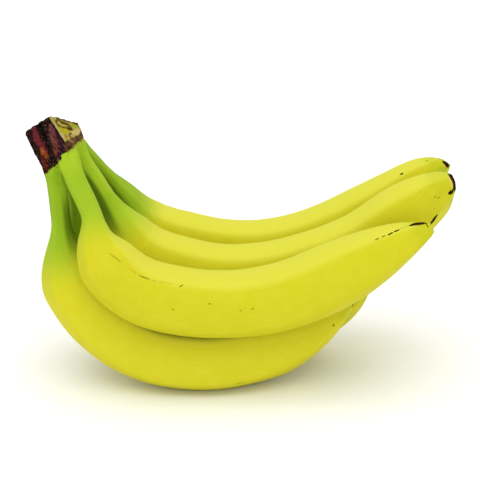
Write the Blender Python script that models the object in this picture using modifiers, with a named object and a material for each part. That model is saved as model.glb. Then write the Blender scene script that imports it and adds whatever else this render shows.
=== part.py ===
"""A hand of five bananas on one crown, lying on the backs of its two lower fruits.

Metres, +Z up. X runs from the crown to the flower ends, Y runs along the two rows of fruit.
The surface that the hand lies on is Z = 0, and the origin is at the bottom centre of the hand.

Each fruit is a cage of five-ridged rings strung along its core line, smoothed by Subdivision Surface.
The crown is the stump of stalk tissue that the fruits grow from, trimmed by flat knife cuts.
"""

import math
from dataclasses import dataclass

import bmesh
import bpy
import numpy as np
from mathutils import Matrix, Vector

MM = 0.001

# Moves the layout below, which is drawn about the middle fruit, onto the bottom centre of the hand.
LAYOUT_TO_ORIGIN = Vector((-1.4, 0, -0.5)) * MM

# Section of a fruit: where its ridges and faces stand, in degrees round the core line from its outer side.
RIDGE_ANGLES = (0, 62, 140, 220, 298)
FACE_ANGLES = (31, 101, 180, 259, 329)
# How far the ridges stand out and the faces lie in, as a share of the radius.
RIDGE_HEIGHT_STALK = 0.085
RIDGE_HEIGHT_BELLY = 0.055
RIDGE_HEIGHT_END = 0.10
# A ring of ten cage points smooths to this share of its radius.
CAGE_SHRINK = (4 + 2 * math.cos(math.radians(36))) / 6

# Rings of cage points along a fruit.
STALK_RINGS = 5
NECK_RINGS = 5
BELLY_RINGS = 8
# The last rings, in millimetres back from the flower end.
END_RINGS = (38.0, 28.0, 19.0, 12.0, 7.0, 3.5, 1.5, 0.0)
END_CREASE = 0.8
# Points that a core line is measured by, and the reach in millimetres over which its direction is taken.
CORE_SAMPLES = 600
DIRECTION_REACH = 1.5

# The crown's own frame, in the layout: where the stalks enter it, the way up to its cut end, and its row.
CROWN_CENTRE = Vector((-88.5, -0.5, 122.3))
CROWN_UP = Vector((-0.66, 0.14, 0.735)).normalized()
ROW = Vector((0.27, 0.96, 0.07))
CROWN_SIDES = 14
CROWN_SQUARENESS = 2.8
# The gap in millimetres between the crown and each stalk.
JOINT_GAP = 0.3

KNIFE_SIZE = 0.5


@dataclass
class Fruit:
    """One banana, in millimetres: its core line from the crown to the flower end, and its girth.

    The stalk runs at stalk_radius for stalk_length and swells over neck_length to belly_radius.
    The last end_length draws in to end_radius, the more bluntly the lower end_power is.
    """

    name: str
    core: tuple
    belly_radius: float
    stalk_radius: float
    stalk_length: float
    neck_length: float
    end_length: float
    end_power: float
    end_radius: float
    lies_on_surface: bool = False


@dataclass
class StumpRing:
    """One level of the crown's stump, in the crown's frame, in millimetres."""

    up: float
    along_row: float
    across: float
    half_row: float
    half_across: float


@dataclass
class KnifeCut:
    """A flat cut of the crown, in its frame: a point on it and its outward normal (along row, across, up)."""

    name: str
    point: tuple
    normal: tuple


FRUITS = (
    Fruit(
        name="finger_upper_front",
        core=(
            (-92, -9, 133), (-88, -13, 126), (-82.5, -20, 113.5), (-77.5, -25, 104.5), (-73.5, -29.5, 95.5),
            (-71.2, -33.6, 85.8), (-66.6, -35.6, 76.6), (-53.8, -35.8, 62.8), (-27, -35, 53), (6, -35, 52.6),
            (40, -34.5, 63.2), (72.5, -32, 80), (94, -29, 90.5),
        ),
        belly_radius=17.3,
        stalk_radius=5.4,
        stalk_length=41,
        neck_length=28,
        end_length=60,
        end_power=0.8,
        end_radius=4.2,
    ),
    Fruit(
        name="finger_upper_middle",
        core=(
            (-86.5, 0, 131), (-84.3, 0, 123), (-80.5, 0, 114.8), (-74.8, 0, 105.6), (-67.6, 0, 91.2), (-60.2, 0, 77.1),
            (-53, 0, 67.5), (-42.3, 0, 61.5), (-26.5, 0, 56.3), (-7, 0, 53.3), (13, 0, 54.5), (37, 0, 60.4),
            (66, 0, 73.2), (90, -3, 92.8), (108.4, -9, 108.2),
        ),
        belly_radius=17.0,
        stalk_radius=5.2,
        stalk_length=39,
        neck_length=34,
        end_length=46,
        end_power=0.62,
        end_radius=4.8,
    ),
    Fruit(
        name="finger_upper_rear",
        core=(
            (-90, 10, 131), (-84, 13, 120.3), (-76.4, 18, 108.9), (-69.6, 24, 97.4), (-63.4, 30, 86),
            (-58.2, 33.5, 75.8), (-51, 35, 68), (-41, 35.3, 62.4), (-22, 35.5, 57.3), (2, 35.5, 54.6),
            (24, 35.3, 56.6), (45.5, 34.8, 63.6), (68.5, 33, 76), (85.5, 31.5, 88.5), (97, 30, 98.8),
            (109, 28, 108.2),
        ),
        belly_radius=17.0,
        stalk_radius=4.9,
        stalk_length=31,
        neck_length=54,
        end_length=60,
        end_power=0.7,
        end_radius=3.8,
    ),
    Fruit(
        name="finger_lower_front",
        core=(
            (-97, -7, 125), (-95, -9, 116.5), (-93.2, -10, 102.5), (-92.1, -11.5, 88), (-90.7, -12.5, 74),
            (-87.1, -14.5, 60.4), (-78, -18, 43.6), (-54, -22.5, 24), (-21, -24, 16.9), (12.5, -20, 21.6),
            (40, -14.5, 33.5), (57, -10, 44),
        ),
        belly_radius=17.3,
        stalk_radius=5.0,
        stalk_length=37,
        neck_length=36,
        end_length=52,
        end_power=0.8,
        end_radius=3.8,
        lies_on_surface=True,
    ),
    Fruit(
        name="finger_lower_rear",
        core=(
            (-96.5, 3.5, 125), (-92.3, 5.5, 116), (-88.7, 9, 104), (-87, 12, 92), (-86.5, 15, 81.5),
            (-85.5, 17.5, 71), (-83, 20, 60), (-77.5, 21.5, 48), (-66, 22.5, 33.5), (-48, 23, 23),
            (-25, 23, 17.6), (0, 22.5, 16.8), (22, 22, 19), (40, 20, 25.5), (54, 18.5, 33), (62.8, 17, 40.3),
            (67.8, 16, 46),
        ),
        belly_radius=17.2,
        stalk_radius=4.6,
        stalk_length=36,
        neck_length=38,
        end_length=48,
        end_power=0.8,
        end_radius=3.8,
        lies_on_surface=True,
    ),
)

STUMP_RINGS = (
    StumpRing(up=-4, along_row=-0.8, across=-0.8, half_row=16.8, half_across=11.6),
    StumpRing(up=2, along_row=-1.4, across=-0.4, half_row=16.8, half_across=11.4),
    StumpRing(up=9, along_row=-1.2, across=1.8, half_row=17.4, half_across=11.2),
    StumpRing(up=16, along_row=-3.4, across=3.8, half_row=16.0, half_across=10.4),
    StumpRing(up=26, along_row=-6.4, across=6.4, half_row=14.0, half_across=9.4),
)

KNIFE_CUTS = (
    KnifeCut(name="old_front_cut", point=(-14.4, 0, 0), normal=(-1, 0, 0.125)),
    KnifeCut(name="fresh_side_cut", point=(-3, 9.9, 8), normal=(0.09, 1, -0.14)),
    KnifeCut(name="stalk_end_cut", point=(0, 0, 17.6), normal=(0.36, 0.15, 1)),
    KnifeCut(name="shoulder_cut", point=(0, 0, 17.2), normal=(0.56, 0.17, 1)),
)

PEEL_COLOUR = (0.70, 0.66, 0.03, 1.0)
PEEL_ROUGHNESS = 0.45
CROWN_COLOUR = (0.09, 0.035, 0.02, 1.0)
CROWN_ROUGHNESS = 0.85


def clear_scene():
    """Removes the objects of the startup scene."""
    for obj in list(bpy.data.objects):
        bpy.data.objects.remove(obj)


def make_collection(name):
    """Adds a collection to the scene."""
    collection = bpy.data.collections.new(name)
    bpy.context.scene.collection.children.link(collection)
    return collection


def make_material(name, colour, roughness):
    """A Principled BSDF in one plain colour."""
    material = bpy.data.materials.new(name)
    material.use_nodes = True
    shader = material.node_tree.nodes["Principled BSDF"]
    shader.inputs["Base Color"].default_value = colour
    shader.inputs["Roughness"].default_value = roughness
    shader.inputs["Metallic"].default_value = 0.0
    material.diffuse_color = colour
    return material


def spline_bends(knots, points):
    """Second derivatives at the knots of the natural cubic spline through points."""
    steps = np.diff(knots)
    slopes = np.diff(points, axis=0) / steps[:, None]
    system = np.eye(len(knots))
    right_side = np.zeros_like(points)
    for i in range(1, len(knots) - 1):
        system[i, i - 1] = steps[i - 1]
        system[i, i] = 2 * (steps[i - 1] + steps[i])
        system[i, i + 1] = steps[i]
        right_side[i] = 6 * (slopes[i] - slopes[i - 1])
    return np.linalg.solve(system, right_side)


class CoreLine:
    """The smooth line through a fruit's core points, measured by its length from the crown."""

    def __init__(self, points):
        points = np.array(points, float)
        chords = np.linalg.norm(np.diff(points, axis=0), axis=1)
        knots = np.concatenate(([0.0], np.cumsum(chords)))
        bends = spline_bends(knots, points)
        samples = []
        for t in np.linspace(0, knots[-1], CORE_SAMPLES):
            i = min(int(np.searchsorted(knots, t, side="right")) - 1, len(chords) - 1)
            step = chords[i]
            before = (knots[i + 1] - t) / step
            after = 1 - before
            bend = (before**3 - before) * bends[i] + (after**3 - after) * bends[i + 1]
            samples.append(before * points[i] + after * points[i + 1] + bend * step**2 / 6)
        self.samples = np.array(samples)
        strides = np.linalg.norm(np.diff(self.samples, axis=0), axis=1)
        self.distances = np.concatenate(([0.0], np.cumsum(strides)))
        self.length = float(self.distances[-1])

    def at(self, distance):
        """The point at a distance along the line."""
        return Vector([np.interp(distance, self.distances, self.samples[:, axis]) for axis in range(3)])

    def direction(self, distance):
        """The way ahead at a distance along the line."""
        behind = self.at(max(distance - DIRECTION_REACH, 0))
        ahead = self.at(min(distance + DIRECTION_REACH, self.length))
        return (ahead - behind).normalized()


def smooth_step(low, high, value):
    """0 below low, 1 above high, and a soft ramp between them."""
    share = min(max((value - low) / (high - low), 0.0), 1.0)
    return share * share * (3 - 2 * share)


def ring_distances(fruit, length):
    """Where a fruit's rings stand along its core line: closer at the neck and at the flower end."""
    neck_end = fruit.stalk_length + fruit.neck_length
    stalk = np.linspace(0, fruit.stalk_length, STALK_RINGS, endpoint=False)
    neck = np.linspace(fruit.stalk_length, neck_end, NECK_RINGS, endpoint=False)
    belly = np.linspace(neck_end, length - END_RINGS[0], BELLY_RINGS, endpoint=False)
    end = [length - back for back in END_RINGS]
    return [*stalk, *neck, *belly, *end]


def fruit_radius(fruit, distance, length):
    """Mean radius of a fruit at a distance along its core line."""
    swell = smooth_step(fruit.stalk_length, fruit.stalk_length + fruit.neck_length, distance)
    body = fruit.stalk_radius + (fruit.belly_radius - fruit.stalk_radius) * swell
    share = min((length - distance) / fruit.end_length, 1.0)
    drawn_in = math.sin(math.pi / 2 * share) ** fruit.end_power
    return fruit.end_radius + (body - fruit.end_radius) * drawn_in


def ridge_height(fruit, distance, length):
    """How far the ridges stand out: sharpest on the stalk and at the flower end."""
    on_stalk = 1 - smooth_step(fruit.stalk_length, fruit.stalk_length + 2 * fruit.neck_length, distance)
    at_end = 1 - smooth_step(0.2 * fruit.end_length, fruit.end_length, length - distance)
    height = RIDGE_HEIGHT_BELLY
    height += (RIDGE_HEIGHT_STALK - RIDGE_HEIGHT_BELLY) * on_stalk
    height += (RIDGE_HEIGHT_END - RIDGE_HEIGHT_BELLY) * at_end
    return height


def section_ring(centre, ahead, radius, height):
    """The ten cage points of one section, square to the core line, starting on the fruit's outer side."""
    side = Vector((0, 1, 0))
    side = (side - ahead * side.dot(ahead)).normalized()
    outer = side.cross(ahead)
    shape = [(angle, 1 + height) for angle in RIDGE_ANGLES]
    shape += [(angle, 1 - height) for angle in FACE_ANGLES]
    points = []
    for angle, share in sorted(shape):
        turn = math.radians(angle)
        reach = radius * share / CAGE_SHRINK
        points.append(centre + (outer * math.cos(turn) + side * math.sin(turn)) * reach)
    return points


def loft(name, rings, collection, material):
    """Skins rings of equal count into one closed cage object, with a face over each end."""
    mesh = bmesh.new()
    loops = [[mesh.verts.new(point) for point in ring] for ring in rings]
    count = len(rings[0])
    for near, far in zip(loops, loops[1:]):
        for i in range(count):
            j = (i + 1) % count
            mesh.faces.new((near[i], near[j], far[j], far[i]))
    crease = mesh.edges.layers.float.new("crease_edge")
    for loop in (loops[0], loops[-1]):
        for edge in mesh.faces.new(loop).edges:
            edge[crease] = END_CREASE
    bmesh.ops.recalc_face_normals(mesh, faces=mesh.faces)
    data = bpy.data.meshes.new(name)
    mesh.to_mesh(data)
    mesh.free()
    data.materials.append(material)
    data.shade_smooth()
    obj = bpy.data.objects.new(name, data)
    collection.objects.link(obj)
    return obj


def subdivide(obj, levels):
    """Smooths a cage with Subdivision Surface."""
    modifier = obj.modifiers.new("smooth", "SUBSURF")
    modifier.levels = levels
    modifier.render_levels = levels


def make_knife(name, point, normal, collection):
    """A big block on the side of a cutting plane that the plane's normal points to."""
    bpy.ops.mesh.primitive_cube_add(size=KNIFE_SIZE)
    knife = bpy.context.active_object
    knife.name = name
    normal = normal.normalized()
    turn = normal.to_track_quat("Z", "Y").to_matrix().to_4x4()
    knife.matrix_world = Matrix.Translation(point + normal * KNIFE_SIZE / 2) @ turn
    knife.hide_render = True
    knife.display_type = "WIRE"
    for owner in list(knife.users_collection):
        owner.objects.unlink(knife)
    collection.objects.link(knife)
    return knife


def cut(obj, knife):
    """Takes away what lies inside the knife."""
    modifier = obj.modifiers.new("cut by " + knife.name, "BOOLEAN")
    modifier.operation = "DIFFERENCE"
    modifier.solver = "EXACT"
    modifier.object = knife


def make_fruit(fruit, collection, material):
    """The cage of one fruit, strung along its core line."""
    line = CoreLine(fruit.core)
    rings = []
    for distance in ring_distances(fruit, line.length):
        radius = fruit_radius(fruit, distance, line.length)
        height = ridge_height(fruit, distance, line.length)
        ring = section_ring(line.at(distance), line.direction(distance), radius, height)
        rings.append([point * MM + LAYOUT_TO_ORIGIN for point in ring])
    obj = loft(fruit.name, rings, collection, material)
    subdivide(obj, 1)
    return obj


def crown_direction(along_row, across, up):
    """A direction given in the crown's frame, in the part's frame."""
    row_axis = (ROW - CROWN_UP * ROW.dot(CROWN_UP)).normalized()
    across_axis = row_axis.cross(CROWN_UP)
    return row_axis * along_row + across_axis * across + CROWN_UP * up


def crown_point(along_row, across, up):
    """A point given in the crown's frame in millimetres, in the part's frame in metres."""
    return (CROWN_CENTRE + crown_direction(along_row, across, up)) * MM + LAYOUT_TO_ORIGIN


def stump_ring(level):
    """One level of the stump: a rounded rectangle."""
    power = 2 / CROWN_SQUARENESS
    ring = []
    for i in range(CROWN_SIDES):
        turn = 2 * math.pi * i / CROWN_SIDES
        row = math.copysign(abs(math.cos(turn)) ** power, math.cos(turn)) * level.half_row
        across = math.copysign(abs(math.sin(turn)) ** power, math.sin(turn)) * level.half_across
        ring.append(crown_point(level.along_row + row, level.across + across, level.up))
    return ring


def make_crown(collection, material):
    """The stump, as rounded rectangles stacked along the crown's axis."""
    obj = loft("crown", [stump_ring(level) for level in STUMP_RINGS], collection, material)
    subdivide(obj, 2)
    return obj


def main():
    """Builds the crown and its five fruits."""
    clear_scene()
    hand = make_collection("banana_hand")
    knives = make_collection("knives")
    peel = make_material("peel", PEEL_COLOUR, PEEL_ROUGHNESS)
    tissue = make_material("crown_tissue", CROWN_COLOUR, CROWN_ROUGHNESS)

    up = crown_direction(0, 0, 1)
    stalk_side = make_knife("stalk_side", crown_point(0, 0, JOINT_GAP / 2), -up, knives)
    crown_side = make_knife("crown_side", crown_point(0, 0, -JOINT_GAP / 2), up, knives)
    surface = make_knife("surface", Vector((0, 0, 0)), Vector((0, 0, -1)), knives)

    crown = make_crown(hand, tissue)
    cut(crown, stalk_side)
    for knife_cut in KNIFE_CUTS:
        point = crown_point(*knife_cut.point)
        cut(crown, make_knife(knife_cut.name, point, crown_direction(*knife_cut.normal), knives))

    for fruit in FRUITS:
        obj = make_fruit(fruit, hand, peel)
        cut(obj, crown_side)
        if fruit.lies_on_surface:
            cut(obj, surface)


main()
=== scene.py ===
"""The looks of a hand of five bananas on one crown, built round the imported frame.

Sizes are millimetres unless a name says otherwise, in the layout that the hand is drawn in. The layout
moves onto the frame by LAYOUT_TO_FRAME. Each fruit is a peel drawn out ring by ring along its core line.
The crown is the cut stump that holds them, grown together with the tops of their stalks.
"""

import logging
import math
from collections.abc import Callable, Sequence
from dataclasses import astuple, dataclass, field
from enum import Enum

import bmesh
import bpy
import numpy as np
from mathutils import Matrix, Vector, noise


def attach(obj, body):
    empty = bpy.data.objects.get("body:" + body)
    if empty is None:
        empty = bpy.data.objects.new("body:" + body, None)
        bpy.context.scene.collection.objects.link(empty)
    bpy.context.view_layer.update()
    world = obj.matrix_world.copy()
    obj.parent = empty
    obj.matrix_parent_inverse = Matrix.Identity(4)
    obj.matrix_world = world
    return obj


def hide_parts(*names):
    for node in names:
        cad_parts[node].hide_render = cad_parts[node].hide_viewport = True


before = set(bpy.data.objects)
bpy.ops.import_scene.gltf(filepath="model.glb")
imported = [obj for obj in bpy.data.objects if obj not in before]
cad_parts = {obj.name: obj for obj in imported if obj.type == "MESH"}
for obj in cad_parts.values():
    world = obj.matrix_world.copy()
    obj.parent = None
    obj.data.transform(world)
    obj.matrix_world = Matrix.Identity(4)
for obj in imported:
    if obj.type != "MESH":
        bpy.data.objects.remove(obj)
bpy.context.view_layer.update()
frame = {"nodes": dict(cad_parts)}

LOG = logging.getLogger("banana_hand")

METRES = 0.001
LAYOUT_TO_FRAME = np.array((-1.4, 0.0, -0.5))
BODY = "root"
PLACE = "place"
CUT_DEPTH = "cut_depth"
FROM_STALKS = "from_stalks"

# Sheen of the dry tissue, and the spread of the shine of the wax on it.
DRY_SHEEN = 0.04
DRY_IOR = 1.25
WAX_ROUGHNESS = 0.45
WAX_IOR = 1.32

# How many of a core line's samples lie along its stalk.
STALK_SAMPLES = 200

# Section of a fruit, in degrees round the core line from its outer side.
RIDGE_ANGLES = (0, 62, 140, 220, 298)
FACE_ANGLES = (31, 101, 180, 259, 329)

Colour = tuple[float, float, float, float]
Point = tuple[float, float, float]
Seed = tuple[float, float, float]


def from_srgb(red: int, green: int, blue: int) -> Colour:
    """Turns a colour as a screen shows it into the linear one that a shader takes.

    Args:
        red: Red, 0 to 255.
        green: Green, 0 to 255.
        blue: Blue, 0 to 255.

    Returns:
        The linear colour, opaque.
    """
    linear = [((share + 0.055) / 1.055) ** 2.4 for share in (red / 255, green / 255, blue / 255)]
    return (linear[0], linear[1], linear[2], 1.0)


def smooth_step(low: float, high: float, value: np.ndarray) -> np.ndarray:
    """A soft ramp.

    Args:
        low: Where it leaves 0.
        high: Where it reaches 1.
        value: The values to read it at.

    Returns:
        The ramp at each value.
    """
    share = np.clip((value - low) / (high - low), 0.0, 1.0)
    return share * share * (3 - 2 * share)


def unit(vectors: np.ndarray) -> np.ndarray:
    """Scales each row to length 1."""
    return vectors / np.maximum(np.linalg.norm(vectors, axis=-1, keepdims=True), 1e-9)


def noise_field(points: np.ndarray, grain: float, seed: Seed) -> np.ndarray:
    """Smooth noise read at points.

    Args:
        points: One row for each point, in millimetres.
        grain: Size of its lumps in millimetres.
        seed: Moves the pattern.

    Returns:
        A value of about -1 to 1 for each point.
    """
    shift = Vector(seed)
    return np.array([noise.noise(Vector(point) / grain + shift) for point in points])


def sign(operation: str, other_first: bool = False) -> Callable:
    """Makes the method behind one of the usual signs.

    Args:
        operation: The Math node's operation.
        other_first: Whether the other number comes before this one.

    Returns:
        The method.
    """

    def method(self: "Value", other: "Value | float") -> "Value":
        """Adds the Math node."""
        pair = (other, self) if other_first else (self, other)
        return self.paint.maths(operation, *pair)

    return method


class Value:
    """A number that changes over a surface, which the usual signs work on."""

    __add__ = sign("ADD")
    __radd__ = sign("ADD", other_first=True)
    __sub__ = sign("SUBTRACT")
    __rsub__ = sign("SUBTRACT", other_first=True)
    __mul__ = sign("MULTIPLY")
    __rmul__ = sign("MULTIPLY", other_first=True)
    __truediv__ = sign("DIVIDE")
    __rtruediv__ = sign("DIVIDE", other_first=True)

    def __init__(self, paint: "Paint", socket: bpy.types.NodeSocket) -> None:
        """Wraps a socket of a paint's nodes."""
        self.paint = paint
        self.socket = socket


class Paint:
    """One material and the nodes that colour it."""

    def __init__(self, name: str) -> None:
        """Starts a material with a Principled BSDF."""
        self.material = bpy.data.materials.new(name)
        self.material.use_nodes = True
        self.tree = self.material.node_tree
        self.shader = self.tree.nodes["Principled BSDF"]

    def node(self, kind: str, settings: dict | None = None, sockets: dict | None = None) -> bpy.types.Node:
        """Adds a node.

        Args:
            kind: Its type.
            settings: What is set on the node itself, before its sockets.
            sockets: A value or a link for each socket, by name or number.

        Returns:
            The node.
        """
        node = self.tree.nodes.new(kind)
        for name, setting in (settings or {}).items():
            setattr(node, name, setting)
        for name, value in (sockets or {}).items():
            self.plug(node.inputs[name], value)
        return node

    def plug(self, socket: bpy.types.NodeSocket, value: object) -> None:
        """Links a socket or a Value, or sets a plain value.

        Args:
            socket: The input.
            value: What goes into it.
        """
        source = value.socket if isinstance(value, Value) else value
        if isinstance(source, bpy.types.NodeSocket):
            self.tree.links.new(source, socket)
        else:
            socket.default_value = source

    def maths(self, operation: str, *values: "Value | float") -> Value:
        """Works out numbers, with a Math node.

        Args:
            operation: The Math node's operation.
            values: Its inputs, in order.

        Returns:
            The result.
        """
        node = self.node("ShaderNodeMath", {"operation": operation}, dict(enumerate(values)))
        return Value(self, node.outputs[0])

    def vector_maths(self, operation: str, *values: object) -> bpy.types.NodeSocket:
        """Works out vectors, with a Vector Math node.

        Args:
            operation: The Vector Math node's operation.
            values: Its inputs, in order.

        Returns:
            The resulting vector.
        """
        node = self.node("ShaderNodeVectorMath", {"operation": operation}, dict(enumerate(values)))
        return node.outputs[0]

    def attribute(self, name: str) -> bpy.types.NodeSocket:
        """The vector attribute of a mesh."""
        return self.node("ShaderNodeAttribute", {"attribute_name": name}).outputs["Vector"]

    def where(self) -> bpy.types.NodeSocket:
        """Object coordinates, in millimetres."""
        place = self.node("ShaderNodeTexCoord").outputs["Object"]
        return self.vector_maths("MULTIPLY", place, (1000.0, 1000.0, 1000.0))

    def split(self, vector: bpy.types.NodeSocket) -> tuple[Value, Value, Value]:
        """The three parts of a vector."""
        outputs = self.node("ShaderNodeSeparateXYZ", None, {"Vector": vector}).outputs
        return Value(self, outputs[0]), Value(self, outputs[1]), Value(self, outputs[2])

    def join(self, first: object, second: object, third: object) -> bpy.types.NodeSocket:
        """A vector of three parts."""
        return self.node("ShaderNodeCombineXYZ", None, {0: first, 1: second, 2: third}).outputs[0]

    def clouds(
        self,
        vector: bpy.types.NodeSocket,
        grain: float,
        detail: float = 2.0,
        rough: float = 0.5,
    ) -> Value:
        """Smooth noise of 0 to 1.

        Args:
            vector: Where it is read.
            grain: Size of its lumps, in the vector's units.
            detail: How many finer layers it has.
            rough: How strong they are.

        Returns:
            The noise.
        """
        sockets = {"Vector": vector, "Scale": 1 / grain, "Detail": detail, "Roughness": rough}
        return Value(self, self.node("ShaderNodeTexNoise", None, sockets).outputs[0])

    def ramp(self, low: float, high: float, value: Value) -> Value:
        """A soft ramp.

        Args:
            low: Where it leaves 0.
            high: Where it reaches 1, which may be below low.
            value: What it reads.

        Returns:
            The ramp, 0 to 1.
        """
        sockets = {"Value": value, "From Min": low, "From Max": high}
        node = self.node("ShaderNodeMapRange", {"interpolation_type": "SMOOTHSTEP"}, sockets)
        return Value(self, node.outputs[0])

    def near_path(self, here: tuple[Value, Value], path: Sequence[Point]) -> Value:
        """How near a tapering path is, as a share of its half width.

        Args:
            here: Two flat coordinates, in millimetres.
            path: The same two coordinates and a half width for each of its points.

        Returns:
            0 on the path's middle line and 1 at its edge.
        """
        near = None
        for (from_x, from_y, from_half), (to_x, to_y, to_half) in zip(path, path[1:]):
            run_x = to_x - from_x
            run_y = to_y - from_y
            length = max(run_x**2 + run_y**2, 1e-6)
            off_x = here[0] - from_x
            off_y = here[1] - from_y
            share = self.maths("MAXIMUM", (off_x * run_x + off_y * run_y) / length, 0.0)
            share = self.maths("MINIMUM", share, 1.0)
            off_x = off_x - share * run_x
            off_y = off_y - share * run_y
            distance = self.maths("SQRT", off_x * off_x + off_y * off_y)
            scaled = distance / (share * (to_half - from_half) + from_half)
            near = scaled if near is None else self.maths("MINIMUM", near, scaled)
        return near

    def mix(self, share: "Value | float", under: object, over: object) -> bpy.types.NodeSocket:
        """Lays one colour over another.

        Args:
            share: How much of the upper one shows.
            under: The lower colour.
            over: The upper colour.

        Returns:
            The mixed colour.
        """
        node = self.node("ShaderNodeMix", {"data_type": "RGBA"}, {0: share, 6: under, 7: over})
        return node.outputs[2]

    def finish(
        self,
        colour: bpy.types.NodeSocket,
        roughness: Value,
        height: Value,
        wax: Value,
    ) -> bpy.types.Material:
        """Feeds the shader.

        Args:
            colour: Base colour.
            roughness: Roughness.
            height: Fine relief in millimetres.
            wax: How much of a thin wax coat lies on it.

        Returns:
            The finished material.
        """
        relief = {"Height": height * METRES, "Distance": 1.0, "Strength": 1.0}
        bump = self.node("ShaderNodeBump", None, relief)
        inputs = self.shader.inputs
        self.plug(inputs["Base Color"], colour)
        self.plug(inputs["Roughness"], roughness)
        self.plug(inputs["Normal"], bump.outputs[0])
        self.plug(inputs["Coat Weight"], wax)
        inputs["Coat Roughness"].default_value = WAX_ROUGHNESS
        inputs["Coat IOR"].default_value = WAX_IOR
        inputs["IOR"].default_value = DRY_IOR
        inputs["Specular IOR Level"].default_value = DRY_SHEEN
        return self.material


def deselect_all() -> None:
    """Leaves object mode with nothing selected."""
    if bpy.context.object and bpy.context.object.mode != "OBJECT":
        bpy.ops.object.mode_set(mode="OBJECT")
    bpy.ops.object.select_all(action="DESELECT")


def pick(obj: bpy.types.Object) -> None:
    """Makes one object the only selected and active one."""
    deselect_all()
    obj.select_set(True)
    bpy.context.view_layer.objects.active = obj


def apply_modifier(obj: bpy.types.Object, kind: str, **settings: object) -> None:
    """Adds a modifier and applies it.

    Args:
        obj: The object.
        kind: The modifier's type.
        settings: What is set on it.
    """
    pick(obj)
    modifier = obj.modifiers.new(kind.lower(), kind)
    for name, setting in settings.items():
        setattr(modifier, name, setting)
    bpy.ops.object.modifier_apply(modifier=modifier.name)


def read_rows(items: bpy.types.bpy_prop_collection, name: str) -> np.ndarray:
    """A vector of each item of a mesh, one row each."""
    rows = np.zeros(len(items) * 3, np.float32)
    items.foreach_get(name, rows)
    return rows.reshape(-1, 3).astype(float)


def read_points(obj: bpy.types.Object) -> np.ndarray:
    """The points of a mesh, one row each."""
    return read_rows(obj.data.vertices, "co")


def write_points(obj: bpy.types.Object, points: np.ndarray) -> None:
    """Moves the points of a mesh, one row each."""
    obj.data.vertices.foreach_set("co", points.ravel())
    obj.data.update()


def read_attribute(obj: bpy.types.Object, name: str) -> np.ndarray:
    """A vector attribute of a mesh's points, one row each."""
    return read_rows(obj.data.attributes[name].data, "vector")


def write_attribute(obj: bpy.types.Object, name: str, rows: np.ndarray) -> None:
    """Sets a vector attribute of a mesh's points, and adds it where it is missing."""
    layer = obj.data.attributes.get(name) or obj.data.attributes.new(name, "FLOAT_VECTOR", "POINT")
    layer.data.foreach_set("vector", rows.astype(np.float32).ravel())


def read_normals(obj: bpy.types.Object) -> np.ndarray:
    """The point normals of a mesh, one row each."""
    return read_rows(obj.data.vertex_normals, "vector")


def draw_out(name: str, sides: int, stations: Sequence[tuple[float, float]]) -> bpy.types.Object:
    """Draws a closed tube out of a circle, with an extrusion for each station.

    Each point keeps its place in an attribute: the cosine and sine of its turn times its station's share of
    the radius, and its station's distance. The tube is straight until it is shaped by that attribute.

    Args:
        name: Name of the object.
        sides: Points round it.
        stations: Distance along and share of the radius of each ring.

    Returns:
        The tube.
    """
    deselect_all()
    bpy.ops.mesh.primitive_circle_add(vertices=sides, radius=1.0, fill_type="NGON")
    tube = bpy.context.active_object
    tube.name = name
    tube.data.name = name
    start = read_points(tube)
    for axis, column in (("cosine", start[:, 0]), ("sine", start[:, 1])):
        layer = tube.data.attributes.new(axis, "FLOAT", "POINT")
        layer.data.foreach_set("value", column.astype(np.float32))
    for label in ("distance", "share"):
        tube.data.attributes.new(label, "FLOAT", "POINT")
    bpy.ops.object.mode_set(mode="EDIT")
    bpy.ops.mesh.select_all(action="SELECT")
    for number, (distance, share) in enumerate(stations):
        if number:
            bpy.ops.mesh.extrude_region_move(TRANSFORM_OT_translate={"value": (0, 0, 1)})
        cage = bmesh.from_edit_mesh(tube.data)
        distances = cage.verts.layers.float["distance"]
        shares = cage.verts.layers.float["share"]
        for point in cage.verts:
            if point.select:
                point[distances] = distance
                point[shares] = share
    bpy.ops.object.mode_set(mode="OBJECT")
    columns = {}
    for label in ("cosine", "sine", "distance", "share"):
        columns[label] = np.zeros(len(tube.data.vertices), np.float32)
        tube.data.attributes[label].data.foreach_get("value", columns[label])
    share = columns["share"]
    place = np.stack((columns["cosine"] * share, columns["sine"] * share, columns["distance"]), axis=1)
    for label in columns:
        tube.data.attributes.remove(tube.data.attributes[label])
    write_attribute(tube, PLACE, place)
    return tube


def spline_bends(knots: np.ndarray, points: np.ndarray) -> np.ndarray:
    """Bends of a natural cubic spline.

    Args:
        knots: Distance of each point.
        points: The points, one row each.

    Returns:
        The second derivative at each knot.
    """
    steps = np.diff(knots)
    slopes = np.diff(points, axis=0) / steps[:, None]
    system = np.eye(len(knots))
    right_side = np.zeros_like(points)
    for i in range(1, len(knots) - 1):
        system[i, i - 1] = steps[i - 1]
        system[i, i] = 2 * (steps[i - 1] + steps[i])
        system[i, i + 1] = steps[i]
        right_side[i] = 6 * (slopes[i] - slopes[i - 1])
    return np.linalg.solve(system, right_side)


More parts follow.
